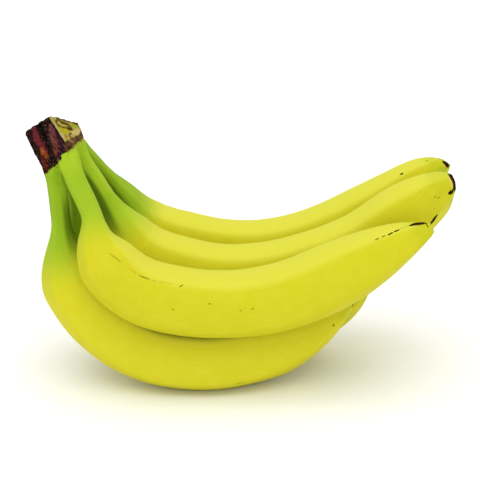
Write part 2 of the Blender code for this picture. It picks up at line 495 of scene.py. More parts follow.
class CoreLine:
    """The smooth line through the middle of a fruit, measured from the crown."""

    SAMPLES = 600
    REACH = 1.5

    def __init__(self, points: Sequence[Point]) -> None:
        """Runs a natural cubic spline through the points."""
        rows = np.array(points, float)
        chords = np.linalg.norm(np.diff(rows, axis=0), axis=1)
        knots = np.concatenate(([0.0], np.cumsum(chords)))
        bends = spline_bends(knots, rows)
        times = np.linspace(0, knots[-1], self.SAMPLES)
        spans = np.clip(np.searchsorted(knots, times, side="right") - 1, 0, len(chords) - 1)
        steps = chords[spans][:, None]
        before = (knots[spans + 1] - times)[:, None] / steps
        after = 1 - before
        bend = (before**3 - before) * bends[spans] + (after**3 - after) * bends[spans + 1]
        self.samples = before * rows[spans] + after * rows[spans + 1] + bend * steps**2 / 6
        strides = np.linalg.norm(np.diff(self.samples, axis=0), axis=1)
        self.distances = np.concatenate(([0.0], np.cumsum(strides)))
        self.length = float(self.distances[-1])

    def inside(self, distances: np.ndarray) -> np.ndarray:
        """Points on the line.

        Args:
            distances: Distances from the crown's end, kept within the line.

        Returns:
            One row for each.
        """
        return np.stack([np.interp(distances, self.distances, column) for column in self.samples.T], axis=1)

    def ahead(self, distances: np.ndarray) -> np.ndarray:
        """The way ahead at each distance, one row each."""
        kept = np.clip(distances, 0, self.length)
        return unit(self.inside(kept + self.REACH) - self.inside(kept - self.REACH))

    def at(self, distances: np.ndarray) -> np.ndarray:
        """Points on the line, which runs on straight past its ends.

        Args:
            distances: Distances from the crown's end.

        Returns:
            One row for each.
        """
        kept = np.clip(distances, 0, self.length)
        return self.inside(kept) + self.ahead(kept) * (distances - kept)[:, None]


class CrownFrame:
    """The crown's own axes: along the row of stalks, across it, and up to the cut end."""

    CENTRE = np.array((-88.5, -0.5, 122.3))
    UP = unit(np.array((-0.66, 0.14, 0.735)))
    ROW_HINT = np.array((0.27, 0.96, 0.07))

    def __init__(self) -> None:
        """Squares the axes."""
        self.row = unit(self.ROW_HINT - self.UP * (self.ROW_HINT @ self.UP))
        self.across = np.cross(self.row, self.UP)
        self.axes = np.stack((self.row, self.across, self.UP))

    def local(self, points: np.ndarray) -> np.ndarray:
        """Layout points as (along row, across, up)."""
        return (points - self.CENTRE) @ self.axes.T

    def layout(self, places: np.ndarray) -> np.ndarray:
        """Rows of (along row, across, up) as layout points."""
        return self.CENTRE + places @ self.axes


@dataclass(frozen=True)
class KnifeCut:
    """A flat cut of the crown, in its frame: a point on it and its outward normal."""

    point: Point
    normal: Point

    def depth(self, places: np.ndarray) -> np.ndarray:
        """How deep crown places lie below it, in millimetres."""
        return (np.array(self.point) - places) @ unit(np.array(self.normal))


@dataclass(frozen=True)
class StumpLevel:
    """One level of the crown's stump, in its frame."""

    up: float
    along_row: float
    across: float
    half_row: float
    half_across: float


# The dried old cut, the fresh one, the end and its shoulder, in the order in which they are made.
CUTS = (
    KnifeCut(point=(-14.4, 0, 0), normal=(-1, 0, 0.125)),
    KnifeCut(point=(-3, 9.9, 8), normal=(0.09, 1, -0.14)),
    KnifeCut(point=(0, 0, 17.6), normal=(0.36, 0.15, 1)),
    KnifeCut(point=(0, 0, 17.2), normal=(0.56, 0.17, 1)),
)
# How far to the side the strands of the stump run for each millimetre up.
STRAND_SLANT = 0.34
# How far along the row the stalks may reach at the old cut, and how much further for each millimetre down.
FACE_OF_CUT = -14.2
FACE_SLANT = 0.8


class Scar(Enum):
    """What a mark on the peel is: its colour, how strong it is, and how far it stands in or out."""

    BLACK = (from_srgb(34, 18, 6), 1.0, -0.10)
    BROWN = (from_srgb(96, 70, 14), 0.85, -0.05)
    FAINT = (from_srgb(150, 132, 26), 0.6, 0.0)
    TAN = (from_srgb(178, 150, 60), 0.6, 0.04)
    PEACH = (from_srgb(226, 190, 96), 0.7, 0.0)
    GREEN = (from_srgb(165, 185, 40), 0.7, 0.0)

    def __init__(self, tint: Colour, strength: float, relief: float) -> None:
        """Names the three parts."""
        self.tint = tint
        self.strength = strength
        self.relief = relief


@dataclass(frozen=True)
class Mark:
    """A mark on the peel: a path of (distance along, turn in degrees, half width), in millimetres."""

    scar: Scar
    path: tuple[Point, ...]
    ragged: float = 0.25
    soft: float = 0.35
    broken: bool = False

    def mask(
        self,
        paint: Paint,
        finger: "Finger",
        place: tuple[Value, Value, Value],
        rags: tuple[Value, Value],
    ) -> Value:
        """Where it shows.

        Args:
            paint: The paint that it joins.
            finger: The fruit.
            place: Cosine, sine and distance along.
            rags: Coarse and fine noise for its edge.

        Returns:
            A mask of 0 to 1.
        """
        cosine, sine, along = place
        distances, turns, halves = zip(*self.path)
        middle = math.radians(sum(turns) / len(turns))
        radius = float(finger.radius(np.array([sum(distances) / len(distances)]))[0])
        sideways = (sine * math.cos(middle) - cosine * math.sin(middle)) * radius
        facing = paint.ramp(0.0, 0.3, cosine * math.cos(middle) + sine * math.sin(middle))
        wander = (rags[0] - 0.5) * self.ragged * 4.0
        offsets = [math.sin(math.radians(turn) - middle) * radius for turn in turns]
        near = paint.near_path((along, sideways + wander), list(zip(distances, offsets, halves)))
        near = near + (rags[1] - 0.5) * self.ragged * 3.0
        mask = paint.ramp(1.0 + self.soft, 1.0 - self.soft, near) * facing
        if self.broken:
            mask = mask * paint.ramp(0.45, 0.6, rags[0] * 0.5 + rags[1] * 0.5)
        return mask


def speck(along: float, turn: float, size: float, scar: Scar = Scar.BROWN) -> Mark:
    """A small round mark.

    Args:
        along: Distance along the fruit.
        turn: Its place round the fruit, in degrees.
        size: Half its width.
        scar: What it is.

    Returns:
        The mark.
    """
    return Mark(scar, ((along - 0.4 * size, turn, size), (along + 0.4 * size, turn, size)), ragged=0.5)


# Greens of the stalks: as lit, and a darker copy as painted shade for those at the back and the left.
LIT_GREEN = from_srgb(162, 192, 40)
DEEP_LIT_GREEN = from_srgb(144, 176, 32)
SHADED_BACK_GREEN = from_srgb(148, 182, 36)
DEEP_SHADED_BACK_GREEN = from_srgb(134, 168, 28)


@dataclass(frozen=True)
class Shade:
    """Painted shade: deep green painted on one side of a stalk, where its neighbours keep the sun off it.

    Each pair says where it is nothing and where it is full: cosines round the fruit for its side, and
    distances along the fruit for its end and its start.
    """

    strength: float
    until: tuple[float, float]
    side: tuple[float, float] = (-0.35, 0.15)
    start: tuple[float, float] = (12.0, 24.0)


@dataclass(frozen=True)
class PeelFinish:
    """Waxy peel: green from the crown, yellow from the neck on, dark at the flower end, with painted shade on
    shaded stalk sides and a painted sheen on the inner side.
    """

    green_until: float
    yellow_from: float
    stalk_green: Colour = LIT_GREEN
    deep_green: Colour = DEEP_LIT_GREEN
    # Painted shade: the deep green laid on stalk sides that are kept from the light.
    shade_green: Colour = from_srgb(84, 112, 12)
    yellow: Colour = from_srgb(203, 197, 34)
    # Painted sheen: a paler yellow on the inner side, which faces up, standing in for a soft highlight.
    sheen_yellow: Colour = from_srgb(212, 209, 64)
    pale_yellow: Colour = from_srgb(208, 203, 44)
    end_green: Colour = from_srgb(176, 184, 30)
    end_brown: Colour = from_srgb(78, 50, 18)
    end_black: Colour = from_srgb(18, 11, 7)
    roughness: float = 0.55
    wax: float = 0.14
    shades: tuple[Shade, ...] = ()

    def material(self, finger: "Finger") -> bpy.types.Material:
        """Paints one fruit.

        Args:
            finger: The fruit, with its marks.

        Returns:
            Its material.
        """
        paint = Paint("peel of " + finger.name)
        cosine, sine, along = paint.split(paint.attribute(PLACE))
        where = paint.where()
        broad = paint.clouds(where, 26.0, 2.0)
        cloud = paint.clouds(where, 7.0, 3.0)
        grain = paint.clouds(where, 1.1, 3.0, 0.6)
        coarse = cloud - 0.5
        fine = grain - 0.5
        fibre = paint.clouds(paint.join(cosine * 15.0, sine * 15.0, along * 0.11), 1.0, 3.0, 0.6)

        blotched = along + (broad - 0.5) * 16.0 + (fibre - 0.5) * 4.0
        ripe = paint.ramp(self.green_until, self.yellow_from, blotched)
        green = paint.mix(paint.ramp(0.35, 0.75, broad), self.stalk_green, self.deep_green)
        # Painted shade: deep green over the stalk sides that the neighbouring stalks keep in shade.
        for shade in self.shades:
            mask = paint.ramp(*shade.side, cosine) * paint.ramp(*shade.until, along)
            mask = mask * paint.ramp(*shade.start, along)
            green = paint.mix(mask * shade.strength, green, self.shade_green)
        yellow = paint.mix(paint.ramp(0.35, 0.75, cloud * 0.5 + fibre * 0.5), self.yellow, self.pale_yellow)
        # Painted highlight: the inner side, facing up, is painted paler as if catching a soft sheen of light.
        yellow = paint.mix(paint.ramp(-0.62, -0.82, cosine), yellow, self.sheen_yellow)
        colour = paint.mix(ripe, green, yellow)
        near_end = finger.line.length - along
        greenish = paint.ramp(13.0, 3.0, near_end + coarse * 8.0)
        colour = paint.mix(greenish * 0.45, colour, self.end_green)

        relief = fibre * 0.03 + grain * 0.025
        roughness = self.roughness + coarse * 0.12 + fine * 0.1
        wax = self.wax + coarse * 0.1
        for mark in finger.marks:
            mask = mark.mask(paint, finger, (cosine, sine, along), (cloud, grain))
            colour = paint.mix(mask * mark.scar.strength, colour, mark.scar.tint)
            relief = relief + mask * mark.scar.relief
            roughness = roughness + mask * 0.2
            wax = wax * (1 - mask * mark.scar.strength)

        ragged = near_end - finger.dead_rim + coarse * 1.2 + fine * 0.7
        share = paint.maths("SQRT", cosine * cosine + sine * sine)
        in_scar = paint.ramp(0.97, 0.9, share)
        colour = paint.mix(paint.ramp(0.8, 0.1, ragged), colour, self.end_brown)
        dead = paint.maths("MAXIMUM", paint.ramp(0.3, -0.2, ragged), in_scar)
        colour = paint.mix(dead, colour, self.end_black)
        roughness = roughness + dead * 0.3
        relief = relief + dead * grain * 0.35
        return paint.finish(colour, roughness, relief, wax * (1 - dead))


@dataclass
class Finger:
    """One banana: its core line from the crown to the flower end, its girth, its marks and its finish.

    The stalk runs at stalk_radius for stalk_length and swells over neck_length to belly_radius.
    The last end_length draws in to end_radius, the more bluntly the lower end_power is.
    The scar at the end leans: by end_lean_out away from the outer side and by end_lean_back to the back.
    """

    name: str
    core: tuple[Point, ...]
    belly_radius: float
    stalk_radius: float
    stalk_length: float
    neck_length: float
    end_length: float
    end_power: float
    end_radius: float
    finish: PeelFinish
    end_lean_out: float = 0.0
    end_lean_back: float = 0.2
    # Distance along and how far the neck has swelled there on the inner side, where that differs.
    inner_swell: tuple[tuple[float, float], ...] = ()
    # How far the top of the stalk stands out where it joins the crown, and how high it reaches there.
    joint_swell: float = 0.9
    joint_top: float = 2.0
    # How far the dead tissue of the scar reaches back over its rim.
    dead_rim: float = 0.35
    lies_on_surface: bool = False
    marks: tuple[Mark, ...] = ()
    seed: Seed = (0.0, 0.0, 0.0)
    sides: int = 60
    stalk_ridges: float = 0.05
    belly_ridges: float = 0.05
    end_ridges: float = 0.06
    ridge_rounding: float = 0.12
    lean_reach: float = 14.0
    # Distance from ring to ring, and over the last end_zone.
    ring_step: float = 2.0
    end_ring_step: float = 0.9
    end_zone: float = 14.0
    # Depth over which the underside flattens on the surface that it lies on, in metres.
    flattening: float = 0.4 * METRES
    # Rings of the sunken scar at the flower end: distance past the end and share of the radius.
    scar_rings: tuple[tuple[float, float], ...] = (
        (0.5, 0.95), (0.7, 0.8), (0.3, 0.62), (-0.2, 0.4), (-0.3, 0.15),
    )
    line: CoreLine = field(init=False)

    def __post_init__(self) -> None:
        """Runs the core line."""
        self.line = CoreLine(self.core)

    def radius(self, along: np.ndarray, inner: np.ndarray | float = 0.0) -> np.ndarray:
        """Mean radius at each distance along, and the inner side's own one as far as inner is 1."""
        swell = smooth_step(self.stalk_length, self.stalk_length + self.neck_length, along)
        if self.inner_swell:
            spots, shares = zip(*self.inner_swell)
            swell = swell + inner * (np.interp(along, spots, shares) - swell)
        body = self.stalk_radius + (self.belly_radius - self.stalk_radius) * swell
        share = np.clip((self.line.length - along) / self.end_length, 0.0, 1.0)
        drawn_in = np.sin(math.pi / 2 * share) ** self.end_power
        return self.end_radius + (body - self.end_radius) * drawn_in

    def ridges(self, along: np.ndarray, turn: np.ndarray) -> np.ndarray:
        """How far the five soft ridges stand out and the faces between them lie in.

        Args:
            along: Distances along.
            turn: Turns in degrees.

        Returns:
            A share of the radius for each.
        """
        angles = sorted([*RIDGE_ANGLES, *FACE_ANGLES])
        phases = [0.0 if angle in RIDGE_ANGLES else 1.0 for angle in angles]
        phase = np.interp(turn % 360, [*angles, 360], [*phases, 0.0])
        rounding = self.ridge_rounding
        blunt = (np.sqrt(phase**2 + rounding**2) - rounding) / (1 - rounding)
        wave = 2 * (1 - np.minimum(blunt, 1.0)) ** 2 - 0.65
        on_stalk = 1 - smooth_step(self.stalk_length, self.stalk_length + 2 * self.neck_length, along)
        at_end = 1 - smooth_step(0.2 * self.end_length, self.end_length, self.line.length - along)
        height = self.belly_ridges
        height = height + (self.stalk_ridges - self.belly_ridges) * on_stalk
        height = height + (self.end_ridges - self.belly_ridges) * at_end
        return wave * height

    def skin(self, place: np.ndarray, thicker: np.ndarray | float = 0.0) -> np.ndarray:
        """Points of the peel.

        Args:
            place: Rows of cosine, sine and distance along.
            thicker: Added to the radius.

        Returns:
            Layout points, one row each.
        """
        share = np.linalg.norm(place[:, :2], axis=1)
        share = np.where(share > 0.985, 1.0, share)
        turn = np.arctan2(place[:, 1], place[:, 0])
        lean = -self.end_lean_out * np.cos(turn) - self.end_lean_back * np.sin(turn)
        near_end = smooth_step(self.line.length - self.lean_reach, self.line.length, place[:, 2])
        along = place[:, 2] + lean * near_end * share * self.end_radius
        ahead = self.line.ahead(along)
        side = np.array((0.0, 1.0, 0.0)) - ahead * ahead[:, 1:2]
        side = unit(side)
        outer = np.cross(side, ahead)
        girth = self.radius(place[:, 2], np.maximum(-np.cos(turn), 0.0))
        reach = (girth * (1 + self.ridges(place[:, 2], np.degrees(turn))) + thicker) * share
        spread = outer * np.cos(turn)[:, None] + side * np.sin(turn)[:, None]
        return self.line.at(along) + spread * reach[:, None]

    def crown_distance(self, crown: CrownFrame, up: float) -> float:
        """Where the core line passes a height in the crown's frame."""
        heights = crown.local(self.line.samples[:STALK_SAMPLES])[:, 2]
        return float(np.interp(-up, -heights, self.line.distances[:STALK_SAMPLES]))

    def stations(self, start: float) -> list[tuple[float, float]]:
        """Rings of the peel from a start to the sunken scar at its end."""
        length = self.line.length
        zone = length - self.end_zone
        spots = [*np.arange(start, zone, self.ring_step)]
        spots += [*np.arange(zone, length - 0.4, self.end_ring_step)]
        rings = [(float(spot), 1.0) for spot in spots]
        rings += [(length, 1.0)]
        rings += [(length + past, share) for past, share in self.scar_rings]
        return rings

    def build(self, crown: CrownFrame) -> bpy.types.Object:
        """Makes the peel.

        Args:
            crown: The crown's frame, which the stalk starts in.

        Returns:
            The peel, dressed and riding on its body.
        """
        start = self.crown_distance(crown, self.joint_top - 3.0)
        peel = draw_out(self.name + "_peel", self.sides, self.stations(start))
        write_points(peel, self.skin(read_attribute(peel, PLACE)))
        apply_modifier(peel, "SUBSURF", levels=1, render_levels=1)
        place = read_attribute(peel, PLACE)
        points = self.skin(place)
        points = press_under_cut(points, crown)
        points += self.relief(points, place)
        points = (points + LAYOUT_TO_FRAME) * METRES
        if self.lies_on_surface:
            height = points[:, 2]
            lifted = 0.5 * (height + np.sqrt(height**2 + self.flattening**2))
            points[:, 2] = lifted - 0.5 * self.flattening * np.exp(-((height / self.flattening) ** 2))
        write_points(peel, points)
        peel.data.shade_smooth()
        peel.data.materials.append(self.finish.material(self))
        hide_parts(self.name)
        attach(peel, BODY)
        LOG.info("%s: %d faces, %.0f mm long", peel.name, len(peel.data.polygons), self.line.length)
        return peel

    def relief(self, points: np.ndarray, place: np.ndarray) -> np.ndarray:
        """Small unevenness of the peel, as grown.

        Args:
            points: Layout points of the skin.
            place: Their cosine, sine and distance along.

        Returns:
            How far each point moves.
        """
        along = place[:, 2]
        out = unit(points - self.line.at(along))
        girth = self.radius(along) / self.belly_radius
        broad = noise_field(points, 26.0, self.seed) * 0.45
        lumps = noise_field(points, 9.0, self.seed) * 0.08
        back = self.line.length - along
        rough = noise_field(points, 1.6, self.seed) * 0.35 * (1 - smooth_step(0.3, 2.2, back))
        return out * ((broad + lumps) * girth + rough)[:, None]


def press_under_cut(points: np.ndarray, crown: CrownFrame) -> np.ndarray:
    """Keeps the tops of the stalks from standing out in front of the crown's old cut.

    Args:
        points: Layout points.
        crown: The crown's frame.

    Returns:
        The points, pressed in where they stood out.
    """
    local = crown.local(points)
    allowed = FACE_OF_CUT - FACE_SLANT * np.maximum(-local[:, 2], 0)
    local[:, 0] = np.maximum(local[:, 0], allowed)
    return crown.layout(local)


@dataclass(frozen=True)
class Stain:
    """A stain on a cut of the crown: a path of (sideways, up, half width) on the cut, and its tint."""

    path: tuple[Point, ...]
    tint: Colour
    strength: float = 1.0
    soft: float = 0.45


@dataclass(frozen=True)
class CrownFinish:
    """Cut stalk tissue: a dried dark cut, a fresh pale one, tan bark, and the green of the stalks, with
    painted shade on the web between them and at the back.
    """

    # Painted shade: a darker green for the web between the stalks.
    web_shade_green: Colour = from_srgb(112, 142, 14)
    bark: Colour = from_srgb(104, 72, 44)
    pale_bark: Colour = from_srgb(150, 118, 76)
    dark_bark: Colour = from_srgb(50, 32, 18)
    dried: Colour = from_srgb(50, 24, 24)
    # Pale dried fibre, partly a painted glint of light on the strands.
    fibre_and_glint: Colour = from_srgb(168, 116, 104)
    black: Colour = from_srgb(18, 12, 10)
    fresh: Colour = from_srgb(150, 140, 42)
    cream: Colour = from_srgb(184, 172, 92)
    fibre_brown: Colour = from_srgb(80, 56, 18)
    edge_green: Colour = from_srgb(150, 146, 50)
    wine: Colour = from_srgb(112, 38, 46)
    amber: Colour = from_srgb(164, 78, 22)
    rust: Colour = from_srgb(88, 32, 16)
    plum: Colour = from_srgb(58, 26, 42)
    rosy: Colour = from_srgb(112, 62, 58)
    clay: Colour = from_srgb(120, 60, 40)
    coal: Colour = from_srgb(16, 13, 11)
    soot: Colour = from_srgb(24, 16, 12)
    straw: Colour = from_srgb(186, 174, 110)
    moss: Colour = from_srgb(178, 168, 36)
    pale_moss: Colour = from_srgb(186, 176, 60)
    sap: Colour = from_srgb(148, 160, 40)
    sand: Colour = from_srgb(196, 176, 116)
    ochre: Colour = from_srgb(176, 112, 40)
    pit: Colour = from_srgb(40, 28, 12)
    pale_pit: Colour = from_srgb(56, 36, 14)
    warm_pit: Colour = from_srgb(56, 34, 14)
    umber: Colour = from_srgb(90, 64, 34)
    roughness: float = 0.55
    wax: float = 0.12
    # Sideways is across the crown on the old cut.
    old_stains: tuple[Stain, ...] = (
        Stain(((1.6, 20.6, 1.1), (-1.1, 15.5, 1.8), (-1.6, 11.3, 1.9), (-2.1, 8.4, 1.5)), wine),
        Stain(((-3.0, 9.5, 1.2), (-3.6, 6.6, 1.8)), amber),
        Stain(((-5.4, 6.4, 1.4), (-7.4, 2.2, 1.5)), rust),
        Stain(((8.4, 15.5, 1.2), (10.2, 8.5, 1.2), (6.2, 4.4, 1.2), (1.1, 1.6, 1.0)), plum),
        Stain(((10.0, 16.0, 0.9), (7.0, 11.1, 1.7), (5.7, 8.1, 1.7), (3.6, 5.2, 1.4)), rosy),
        Stain(((3.6, 5.2, 1.2), (1.3, 3.2, 0.9)), clay),
        Stain(((5.8, 20.2, 2.2), (4.0, 16.5, 2.0), (2.6, 10.6, 1.5), (0.4, 7.0, 1.1)), coal),
        Stain(((-8.6, 6.0, 0.5), (-4.2, 20.5, 0.6)), soot),
    )
    # Sideways is along the row of stalks on the fresh cut.
    fresh_stains: tuple[Stain, ...] = (
        Stain(((-12.2, 18.4, 1.5), (-11.2, 7.6, 1.6)), straw, 0.9),
        Stain(((-8.4, 10.8, 1.6), (-3.0, 9.2, 2.2), (1.6, 7.4, 1.2)), moss),
        Stain(((-1.0, 12.6, 1.0), (4.0, 10.4, 0.9)), pale_moss, 0.8),
        Stain(((7.6, 7.9, 1.5), (10.6, 7.6, 1.2)), sap, 0.9),
        Stain(((2.4, 5.6, 1.2), (6.0, 4.6, 1.5), (9.0, 4.6, 1.2)), sand, 0.9),
        Stain(((-8.8, 7.2, 0.9), (-6.8, 6.4, 0.8)), ochre, 0.8),
    )
    fresh_lines: tuple[Stain, ...] = (
        Stain(
            ((-8.0, 15.2, 0.6), (-4.4, 16.2, 0.9), (-0.5, 15.5, 0.9), (1.0, 14.1, 0.6)),
            fibre_brown, 0.9, 0.6,
        ),
        Stain(((1.0, 14.1, 0.6), (6.1, 11.8, 0.8), (9.0, 10.5, 0.6)), fibre_brown, 0.9, 0.6),
        Stain(
            ((-3.6, 14.9, 0.5), (-2.3, 13.4, 0.7), (1.3, 12.0, 0.8), (4.0, 10.2, 0.8), (4.4, 8.1, 0.6)),
            fibre_brown,
        ),
        Stain(((-8.3, 14.5, 0.8), (-7.2, 13.0, 0.8), (-4.2, 11.2, 0.5)), fibre_brown, 0.9, 0.6),
        Stain(
            ((-4.2, 11.2, 0.5), (-0.6, 9.9, 0.6), (1.5, 8.2, 0.7), (4.3, 6.9, 0.5)),
            fibre_brown, 0.8, 0.6,
        ),
        Stain(((-0.6, 6.5, 0.5), (-3.5, 5.5, 0.6), (-2.1, 3.5, 0.6)), fibre_brown, 0.8, 0.6),
        Stain(((1.5, 9.1, 0.7), (2.3, 8.9, 0.7)), pit),
        Stain(((3.0, 7.9, 0.6), (3.6, 7.6, 0.6)), pale_pit),
        Stain(((-0.6, 6.5, 0.6), (0.0, 6.3, 0.6)), warm_pit),
        Stain(
            ((-7.2, 18.6, 0.5), (-1.3, 16.4, 0.7), (3.6, 13.8, 0.8), (8.7, 10.6, 0.9), (12.4, 7.8, 1.1)),
            fibre_brown,
        ),
        Stain(((12.4, 7.8, 1.1), (13.8, 5.3, 1.3), (12.0, 3.3, 1.1), (7.9, 2.1, 0.9)), umber),
    )

    def material(self) -> bpy.types.Material:
        """Paints the crown."""
        paint = Paint("crown tissue")
        row, across, up = paint.split(paint.attribute(PLACE))
        old_depth, fresh_depth, end_depth = paint.split(paint.attribute(CUT_DEPTH))
        where = paint.where()
        broad = paint.clouds(where, 26.0, 2.0)
        lumps = paint.clouds(where, 3.2, 3.0, 0.6)
        grain = paint.clouds(where, 0.9, 3.0, 0.65)
        coarse = lumps - 0.5
        fine = grain - 0.5
        stripe = across - up * STRAND_SLANT
        strands = paint.clouds(paint.join(stripe * 1.3, row * 0.7, up * 0.22), 1.0, 3.0, 0.6)
        fine_strands = paint.clouds(paint.join(stripe * 3.4, row * 1.5, up * 0.5), 1.0, 3.0, 0.6)
        skin_strands = paint.clouds(paint.join(row * 0.9, across * 0.9, up * 0.3), 1.0, 3.0, 0.65)

        green = paint.mix(paint.ramp(0.35, 0.75, broad), LIT_GREEN, DEEP_LIT_GREEN)
        # Painted shade: the back and the far end of the crown take the darker stalk green.
        back_shade_green = paint.mix(paint.ramp(0.35, 0.75, broad), SHADED_BACK_GREEN, DEEP_SHADED_BACK_GREEN)
        at_back = paint.maths("MAXIMUM", paint.ramp(0.0, -4.0, across), paint.ramp(6.5, 10.0, row))
        green = paint.mix(at_back, green, back_shade_green)
        from_stalks = paint.split(paint.attribute(FROM_STALKS))[0]
        # Painted shade: darker green on the web between the stalks, where they keep each other from the
        # light.
        between = paint.ramp(6.2, 8.0, from_stalks) * paint.ramp(-1.0, -5.0, up)
        green = paint.mix(between, green, self.web_shade_green)
        edge = up + coarse * 4.0 + fine * 2.0
        bark_mask = paint.ramp(-0.5, 0.6, edge)
        colour = paint.mix(paint.ramp(-2.2, 0.2, edge) * 0.5, green, self.edge_green)
        bark = paint.mix(paint.ramp(0.35, 0.6, skin_strands), self.dark_bark, self.bark)
        bark = paint.mix(paint.ramp(0.5, 0.68, lumps), bark, self.pale_bark)
        colour = paint.mix(bark_mask, colour, bark)

        wander = coarse * 2.4 + fine * 0.9
        old = paint.mix(paint.ramp(0.36, 0.62, strands), self.black, self.dried)
        old = self.stained(paint, old, self.old_stains, (across + wander, up + wander), fine_strands)
        # Pale flecks of dried fibre, partly painted glints of light on the strands.
        glint_flecks = paint.ramp(0.54, 0.64, grain * 0.55 + fine_strands * 0.45)
        old = paint.mix(glint_flecks * 0.6, old, self.fibre_and_glint)
        old = paint.mix(paint.ramp(0.5, 0.4, fine_strands) * 0.75, old, self.black)
        old_rim = paint.maths("MINIMUM", fresh_depth, end_depth) + fine * 0.8
        old = paint.mix(paint.ramp(0.9, 0.3, old_rim) * 0.85, old, self.black)
        low_edge = up + 0.6 + coarse * 3.0 + fine * 1.5
        beside = 4.4 + up * 1.1 - across + coarse * 2.0
        old_mask = paint.ramp(1.1, 0.6, old_depth) * paint.ramp(-0.5, 0.5, low_edge)
        old_mask = old_mask * paint.ramp(-0.6, 0.3, beside)
        colour = paint.mix(old_mask, colour, old)

        fresh = paint.mix(paint.ramp(0.4, 0.62, lumps * 0.6 + grain * 0.4), self.fresh, self.cream)
        flat = (row + wander * 0.5, up + wander * 0.4)
        fresh = self.stained(paint, fresh, self.fresh_stains, flat, grain)
        rings = paint.clouds(paint.join(row * 0.5, up * 0.9, across * 0.2), 1.0, 3.0, 0.7)
        arcs = paint.ramp(0.035, 0.0, paint.maths("ABSOLUTE", rings - 0.5))
        fresh = paint.mix(arcs * 0.35, fresh, self.fibre_brown)
        fresh = self.stained(paint, fresh, self.fresh_lines, flat, grain)
        past_middle = paint.maths("MAXIMUM", row - 6.0, 0.0)
        height = up + row * 0.1 - past_middle * past_middle * 0.02
        above_bark = paint.ramp(3.3, 4.3, height + coarse * 1.6 + fine * 1.0)
        fresh_mask = paint.ramp(0.9, 0.5, fresh_depth) * above_bark * (1 - old_mask)
        colour = paint.mix(fresh_mask, colour, fresh)

        end_mask = paint.ramp(1.0, 0.5, end_depth) * (1 - old_mask) * (1 - fresh_mask)
        end_bark = paint.mix(paint.ramp(0.4, 0.6, skin_strands), self.black, self.bark)
        colour = paint.mix(end_mask, colour, end_bark)

        cut_mask = paint.maths("MAXIMUM", old_mask, paint.maths("MAXIMUM", bark_mask, end_mask))
        roughness = self.roughness + cut_mask * 0.25 + fine * 0.15
        relief = grain * (0.03 + cut_mask * 0.2)
        relief = relief + fine_strands * old_mask * 0.4 + skin_strands * bark_mask * 0.3
        wax = self.wax * (1 - cut_mask) * (1 - fresh_mask)
        return paint.finish(colour, roughness, relief, wax)

    def stained(
        self,
        paint: Paint,
        colour: bpy.types.NodeSocket,
        stains: Sequence[Stain],
        place: tuple[Value, Value],
        rag: Value,
    ) -> bpy.types.NodeSocket:
        """Lays stains over a colour.

        Args:
            paint: The paint that they join.
            colour: The colour below.
            stains: The stains.
            place: The same two coordinates as their paths.
            rag: Noise for their edges.

        Returns:
            The stained colour.
        """
        for stain in stains:
            near = paint.near_path(place, stain.path) + (rag - 0.5) * 1.1
            mask = paint.ramp(1.0 + stain.soft, 1.0 - stain.soft, near) * stain.strength
            colour = paint.mix(mask, colour, stain.tint)
        return colour


